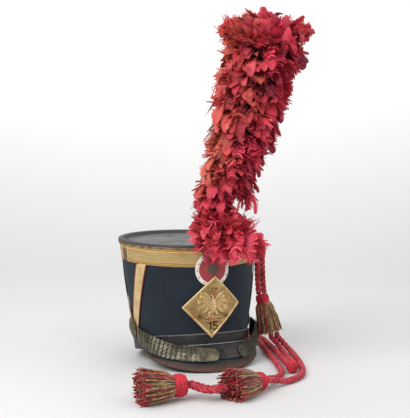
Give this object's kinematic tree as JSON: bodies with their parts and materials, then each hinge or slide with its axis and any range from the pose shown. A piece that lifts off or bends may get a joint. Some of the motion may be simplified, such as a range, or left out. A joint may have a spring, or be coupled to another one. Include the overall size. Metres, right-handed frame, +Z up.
{
  "type": "shako hat",
  "caption": "Tapered cloth shako with gold lace, leather peak, brass plate and chinscales, a tall feather plume and tasselled cords.",
  "frame": {"origin": "on the table, under the middle of the hat's box without its cords", "axes": "+Z up, the front of the hat looks along -Y, the wearer's left is +X"},
  "size_m": [0.3452, 0.4501, 0.574],
  "materials": {
    "cloth": "matte felted wool cloth, dark blue-black",
    "crown_leather": "worn waxed leather, cracked",
    "gold_lace": "woven metallic lace, tarnished",
    "black_leather": "old varnished leather, cracked, worn edges",
    "old_brass": "tarnished brass",
    "plate_brass": "stamped brass, polished high parts",
    "cockade": "painted leather in rings, faded",
    "feathers": "dyed red cock's feathers",
    "red_cord": "twisted wool cord, red",
    "fringe": "bullion fringe, red and brown-gold strands"
  },
  "bodies": {
    "root": {"body_shell": "cloth", "crown_top": "crown_leather", "galon": "gold_lace", "chevron_left": "gold_lace", "chevron_right": "gold_lace", "base_band": "black_leather", "peak": "black_leather", "rosette_left": "old_brass", "rosette_right": "old_brass", "chinscales_left": "old_brass", "chinscales_right": "old_brass", "strap_tongue": "black_leather", "cockade": "cockade", "plate": "plate_brass", "plume": "feathers", "plume_socket": "old_brass", "cord_hook_left": "old_brass", "cord_hook_rear": "old_brass", "cord_head_left": "red_cord", "cord_head_rear": "red_cord", "corner_knot": "red_cord", "cord_left_outer": "red_cord", "cord_left_inner": "red_cord", "cord_right_outer": "red_cord", "cord_right_inner": "red_cord", "cord_rear_inner": "red_cord", "cord_rear_outer": "red_cord", "cord_front_rear": "red_cord", "cord_front_near": "red_cord", "tassel_1_knot": "red_cord", "tassel_1_fringe": "fringe", "tassel_2_knot": "red_cord", "tassel_2_fringe": "fringe", "tassel_3_knot": "red_cord", "tassel_3_fringe": "fringe"}
  },
  "joints": []
}
